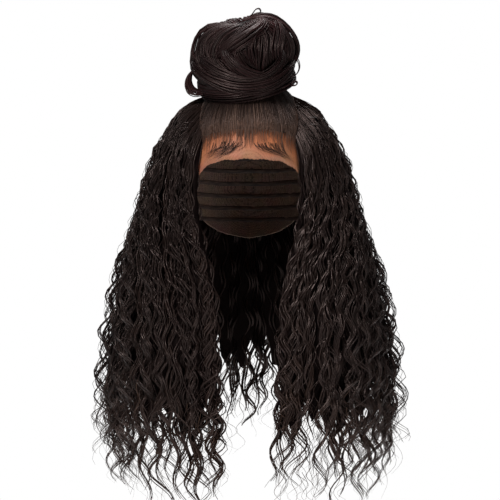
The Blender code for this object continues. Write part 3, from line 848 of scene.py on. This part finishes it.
def hair_body(position, run, level):
    """Points of the hair's body, and its outward normals.

    The underside follows the head down from the root to its widest level, and then the hollow. The
    point lies the level's share of the pile off it, where the pile thins to the face and the root.
    """
    start = parting_polar(hair_angle(position, 0.0)) + np.radians(0.9)
    on_scalp = (math.pi / 2 - start) * CROWN
    polar = np.minimum(start + run / CROWN, math.pi / 2)
    height = np.where(run < on_scalp, -CROWN * (1 - np.cos(polar)), -CROWN - (run - on_scalp))
    angle = hair_angle(position, height)
    skin, skin_normal = on_head(angle, polar, CAP_WALL + HAIR_CLEARANCE)
    side = in_table(HOLLOW, height, 1)
    depth = np.where(np.cos(angle) > 0, in_table(HOLLOW, height, 2), in_table(HOLLOW, height, 3))
    hung = np.stack([side * np.sin(angle), -depth * np.cos(angle), height], -1)
    hung_normal = np.stack([np.sin(angle) / side, -np.cos(angle) / depth, 0 * angle], -1)
    hung_normal /= np.linalg.norm(hung_normal, axis=-1, keepdims=True)
    worn = (run < on_scalp)[..., None]
    under, normal = np.where(worn, skin, hung), np.where(worn, skin_normal, hung_normal)
    near_edge = np.clip((1 - np.abs(position)) / EDGE_SPREAD, 0, 1)
    pile = in_table(PILE, height) * (EDGE_PILE + (1 - EDGE_PILE) * near_edge**2 * (3 - 2 * near_edge))
    pile = pile * (ROOT_PILE + (1 - ROOT_PILE) * np.clip(run / ROOT_SPREAD, 0, 1))
    return under + normal * (pile * level)[..., None], normal


def waved(points, normal, turn, width, depth):
    """Moves each point sideways by the sine and outward by the cosine of its turn along the strand."""
    across = np.cross(normal, (0.0, 0.0, 1.0))
    across /= np.linalg.norm(across, axis=-1, keepdims=True) + 1e-9
    return points + (width * np.sin(turn))[..., None] * across + (depth * np.cos(turn))[..., None] * normal


def fall_undercoat(name, first, last, finish):
    """The closed body of a fall inside its strands, grooved by waves, thinning to a ragged hem."""
    position = np.linspace(first, last, 64)[None]
    share = np.linspace(0, 1, 48)[:, None]
    ragged = 0.012 * np.sin(37 * position) + 0.014 * np.sin(110 * position + 1)
    run = share * (hair_length(position) - 0.102 - ragged)
    thin = 1 - 0.9 * np.clip((share - 0.72) / 0.28, 0, 1) ** 2
    under, normal = hair_body(position, run, np.full(run.shape, 0.10))
    top, _ = hair_body(position, run, 0.10 + 0.50 * thin)
    turn = 2 * math.pi * run / 0.030 + 2.5 * np.sin(9 * position)
    grown = np.clip(run / 0.05, 0, 1)
    top = waved(top, normal, turn, 0.003 * grown, 0.0015 * grown)
    top = top + normal * (0.0015 * np.sin(math.pi * 60 * position) * grown)[..., None]
    top[0] = under[0] + 0.5 * (top[0] - under[0])
    grain = np.stack(np.broadcast_arrays(120 * position, 0 * run, 30 * run), -1)
    return padded_sheet(name, under, top, finish, grain, 0.5)


def lock_paths(
    seed, position, level, short, strands, width, steps=LOCK_STEPS, lead=0.024, swing=1.0, shift=0.0
):
    """Paths, normals, widths and tones of locks, whose roots, depths and shortfalls are given.

    A lock is a few strands that wave together. Its wave grows from the root, lengthens to the tip and
    swells and fades on the way. A strand keeps its place in its lock and draws in to it at the tip,
    and it differs a little in phase, length and width. shift moves the lower half past the face edge.
    """
    rng = np.random.default_rng(seed)
    count = len(position)

    def each_lock(low, high):
        return np.repeat(rng.uniform(low, high, count), strands)[:, None]

    def each_strand(low, high):
        return rng.uniform(low, high, (count * strands, 1))

    middle = np.repeat(position, strands)[:, None]
    share = np.linspace(0, 1, steps)[None]
    length = hair_length(np.clip(middle, -1, 1)) - np.repeat(short, strands)[:, None]
    length = length - each_strand(0, 0.012) + lead
    run = share * length - lead
    worn = np.clip(run / 0.08, 0, 1)
    low = np.clip(run / 0.40, 0, 1)

    wave = (WAVE_SHORT + (WAVE_LONG - WAVE_SHORT) * low**2) * each_lock(0.85, 1.2)
    turn = np.cumsum(2 * math.pi * (length / steps) / wave, axis=1) * each_strand(0.996, 1.004)
    turn = turn + each_lock(0, 2 * math.pi) + each_strand(-0.28, 0.28)
    turn = turn + 0.5 * np.sin(run / 0.04 + each_lock(0, 6.3)) + 0.12 * np.sin(run / 0.02 + each_strand(0, 6.3))
    swell = 0.78 + 0.30 * np.sin(run / 0.034 + each_lock(0, 6.3))
    size = worn * (0.0030 + 0.0072 * low**3) * swell * swing
    aslant = each_lock(0.45, 1.25)

    drift = each_lock(0.003, 0.014) * np.sin(run / each_lock(0.035, 0.075) + each_lock(0, 6.3)) * worn
    apart = each_strand(-0.013, 0.013) * (1 - 0.72 * low**2)
    lower = np.clip((run - 0.20) / 0.12, 0, 1)
    place = middle + drift + apart + np.sign(middle) * shift * lower**2 * (3 - 2 * lower)
    depth = np.repeat(level, strands)[:, None] + each_strand(-0.05, 0.05) * (1 - 0.6 * low)
    rising = np.clip((run + lead) / (lead + 0.006), 0, 1)
    depth = depth * (0.25 + 0.75 * rising**2 * (3 - 2 * rising)) + each_lock(-0.10, 0.06) * low**2
    beside_face = np.clip((np.abs(middle) - 0.84) / 0.16, 0, 1) * np.exp(-np.clip(run + 0.02, 0, 1) / 0.05)
    points, normal = hair_body(place, run, depth * (1 + 0.9 * beside_face))
    handed = np.where(each_lock(-1, 1) > 0, 1.0, -1.0)
    points = waved(points, normal, turn * handed, size * aslant, 0.7 * size / aslant**0.5)

    body = 0.55 + 0.45 * np.clip((run + lead) / 0.05, 0, 1) - 0.25 * low
    thick = width * (body - 0.55 * np.clip((share - 0.86) / 0.14, 0, 1)).clip(0.10) * each_strand(0.55, 1.2)
    tone = each_lock(0.0, 0.9) * each_strand(0.5, 1.0)
    return points, normal, thick, np.broadcast_to(tone, thick.shape)


def spots(rng, first, last, count, scatter=0.012):
    """Places from first to last in even steps, each moved at random by up to the scatter."""
    return np.linspace(first, last, count) + rng.uniform(-scatter, scatter, count)


def joined(*groups):
    """The groups of strands as one: their paths, normals, widths and tones end to end."""
    return [np.concatenate(parts) for parts in zip(*groups)]


def frizz_paths(seed, first, last, count, steps):
    """Short thin curls round the hem: each is a small wave on the hair's body near the locks' tips."""
    rng = np.random.default_rng(seed)

    def each(low, high):
        return rng.uniform(low, high, (count, 1))

    middle = each(first, last)
    share = np.linspace(0, 1, steps)[None]
    start = hair_length(middle) * each(0.66, 0.90)
    run = start + share * each(0.030, 0.070)
    place = middle + each(-0.03, 0.03) * share
    points, normal = hair_body(place, run, each(0.2, 0.95) + each(-0.2, 0.15) * share)
    turn = run * 2 * math.pi / each(0.020, 0.040) + each(0, 6.3)
    points = waved(points, normal, turn, each(0.002, 0.008) * (0.3 + share), each(0.001, 0.005) * (0.3 + share))
    return points, normal, 0.0007 * (1.15 - share) * each(0.7, 1.3), each(0.3, 1.0) + 0 * share


def temple_paths(seed, side, count, steps):
    """Strands from the temple hairline that sweep back over the fall and sink into it as they end."""
    rng = np.random.default_rng(seed)
    share = np.linspace(0, 1, steps)[None]
    run = -0.016 + share * rng.uniform(0.055, 0.095, (count, 1))
    place = side * (rng.uniform(0.95, 1.0, (count, 1)) - rng.uniform(0.06, 0.20, (count, 1)) * share**0.8)
    depth = 0.25 + 0.80 * np.clip(share / 0.35, 0, 1) ** 0.7 - 0.15 * share**3
    points, normal = hair_body(place, run, depth + rng.uniform(-0.05, 0.08, (count, 1)))
    turn = run * 2 * math.pi / 0.034 + rng.uniform(0, 6.3, (count, 1))
    points = waved(points, normal, turn, 0.0022 * share, 0.0012 * share)
    width = 0.0015 * (1.05 - share) * rng.uniform(0.6, 1.2, (count, 1))
    return points, normal, width, rng.uniform(0.1, 0.5, (count, 1)) + 0 * share


long_hair = hair_material(
    "long_hair",
    [(0.0, CROWN_BROWN), (0.05, CROWN_BROWN), (0.11, HAIR_DARK), (0.80, HAIR_DARK), (1.0, TIP_BROWN)],
    HAIR_BROWN, 0.30,
)
frizz_hair = hair_material("frizz_hair", [(0.0, HAIR_BROWN), (1.0, FRIZZ_BROWN)], FRIZZ_BROWN, 0.5)
for name, seed, first, last, nodes, outer_locks, inner_locks in (
    ("left", 41, -1.0, -BACK_REACH, ("fall_left",), 42, 10),
    ("back", 43, -BACK_REACH, BACK_REACH, ("fall_back_left", "fall_back_right"), 36, 26),
    ("right", 47, BACK_REACH, 1.0, ("fall_right",), 42, 10),
):
    rng = np.random.default_rng(seed + 100)
    base = fall_undercoat(name + "_undercoat", first, last, undercoat_hair)
    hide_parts(*nodes)

    long_third = np.arange(outer_locks) % 3 == 0
    short = np.where(long_third, rng.uniform(0.0, 0.022, outer_locks), rng.uniform(0.018, 0.066, outer_locks))
    places = spots(rng, first, last, outer_locks)
    short = short + 0.045 * np.clip((places - 0.86) / 0.06, 0, 1)
    paths, normal, thick, tone = joined(
        lock_paths(seed, places, rng.uniform(0.62, 0.88, outer_locks), short, OUTER_STRANDS, STRAND_WIDTH),
        lock_paths(
            seed + 1, spots(rng, first, last, inner_locks), rng.uniform(0.02, 0.10, inner_locks),
            rng.uniform(0.02, 0.08, inner_locks), INNER_STRANDS, STRAND_WIDTH, lead=0.0,
        ),
    )
    bundle(name + "_locks", paths, normal, thick, 0.6, long_hair, tone)
    loose = [
        lock_paths(
            seed + 2, spots(rng, first, last, LOOSE_LOCKS, 0.02), rng.uniform(0.88, 0.96, LOOSE_LOCKS),
            rng.uniform(0.0, 0.06, LOOSE_LOCKS), INNER_STRANDS, 0.0017, steps=LOOSE_STEPS, swing=1.8,
        ),
        lock_paths(
            seed + 3, spots(rng, first, last, LOOSE_STRANDS, 0.02), rng.uniform(0.84, 0.98, LOOSE_STRANDS),
            rng.uniform(0.0, 0.07, LOOSE_STRANDS), 1, 0.0011, steps=LOOSE_STEPS, swing=1.5,
        ),
    ]
    if name != "back":
        loose.append(temple_paths(seed + 4, math.copysign(1, first + last), TEMPLE_STRANDS, LOOSE_STEPS))
    if name == "right":
        loose.append(
            lock_paths(
                seed + 5, np.array([0.995]), np.array([0.45]), np.array([0.035]), OUTER_STRANDS, 0.0019,
                steps=LOOSE_STEPS, swing=1.2, shift=0.022,
            )
        )
    paths, normal, thick, tone = joined(*loose)
    bundle(name + "_wisps", paths, normal, thick, 0.8, long_hair, tone)
    paths, normal, thick, tone = frizz_paths(seed + 6, first, last, FRIZZ_CURLS, FRIZZ_STEPS)
    bundle(name + "_frizz", paths, normal, thick, 0.8, frizz_hair, tone)


# Studio: a pale floor below the tips, a white surround, and wide soft lights in front and above.

FLOOR_DROP = 0.10
FLOOR_RADIUS = 1.05
PHOTO_SPAN = 0.5425
CAMERA_AWAY = 2.4
CAMERA_HEIGHT = -0.178


def studio_floor():
    """A wide flat disk with a little height, which the wig hangs above."""
    turn = np.linspace(0, 2 * math.pi, 96, endpoint=False)
    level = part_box("fall_left")[0][2] - FLOOR_DROP
    rim = np.stack([FLOOR_RADIUS * np.cos(turn), FLOOR_RADIUS * np.sin(turn), np.full(96, level)], -1)
    points = np.concatenate([rim, rim - (0, 0, 0.02)])
    index = np.arange(96)
    walls = np.stack([index, index + 96, np.roll(index, -1) + 96, np.roll(index, -1)], -1)
    mesh = bpy.data.meshes.new("floor")
    mesh.from_pydata(points.tolist(), [], [index.tolist(), (index[::-1] + 96).tolist(), *walls.tolist()])
    floor = bpy.data.objects.new("floor", mesh)
    bpy.context.scene.collection.objects.link(floor)
    material, shader, _, _ = new_material("floor_paint")
    shader.inputs["Base Color"].default_value = (0.85, 0.85, 0.85, 1)
    shader.inputs["Roughness"].default_value = 0.9
    shader.inputs["Emission Color"].default_value = (1, 1, 1, 1)
    shader.inputs["Emission Strength"].default_value = 0.45
    mesh.materials.append(material)


def soft_light(name, place, size, power):
    """A square area light turned to the middle of the wig."""
    light = bpy.data.lights.new(name, "AREA")
    light.shape = "SQUARE"
    light.size = size
    light.energy = power
    lamp = bpy.data.objects.new(name, light)
    lamp.location = place
    away = np.array(place) - np.array([0.0, 0.0, -0.15])
    tilt = math.atan2(math.hypot(away[0], away[1]), away[2])
    lamp.rotation_euler = (tilt, 0, math.atan2(away[0], -away[1]))
    bpy.context.scene.collection.objects.link(lamp)


def white_surround():
    """White where the camera looks at it, and a dimmer light on the wig."""
    world = bpy.data.worlds.new("surround")
    world.use_nodes = True
    nodes, links = world.node_tree.nodes, world.node_tree.links
    dim = nodes["Background"]
    dim.inputs["Strength"].default_value = 0.12
    dim.inputs["Color"].default_value = (1, 1, 1, 1)
    seen = nodes.new("ShaderNodeBackground")
    seen.inputs["Color"].default_value = (1, 1, 1, 1)
    path = nodes.new("ShaderNodeLightPath")
    mix = nodes.new("ShaderNodeMixShader")
    links.new(path.outputs["Is Camera Ray"], mix.inputs[0])
    links.new(dim.outputs[0], mix.inputs[1])
    links.new(seen.outputs[0], mix.inputs[2])
    links.new(mix.outputs[0], nodes["World Output"].inputs[0])
    bpy.context.scene.world = world


studio_floor()
white_surround()
soft_light("key", (-0.95, -1.5, 1.25), 0.6, 44)
soft_light("fill", (1.2, -1.8, -0.3), 0.9, 15)
soft_light("top", (0.1, 0.55, 1.4), 0.8, 24)

camera = bpy.data.objects.new("camera", bpy.data.cameras.new("camera"))
camera.location = (0.001, -CAMERA_AWAY, CAMERA_HEIGHT)
camera.rotation_euler = (math.pi / 2, 0, 0)
camera.data.angle = 2 * math.atan(PHOTO_SPAN / 2 / CAMERA_AWAY)
bpy.context.scene.collection.objects.link(camera)
bpy.context.scene.camera = camera
bpy.context.scene.view_settings.view_transform = "Standard"
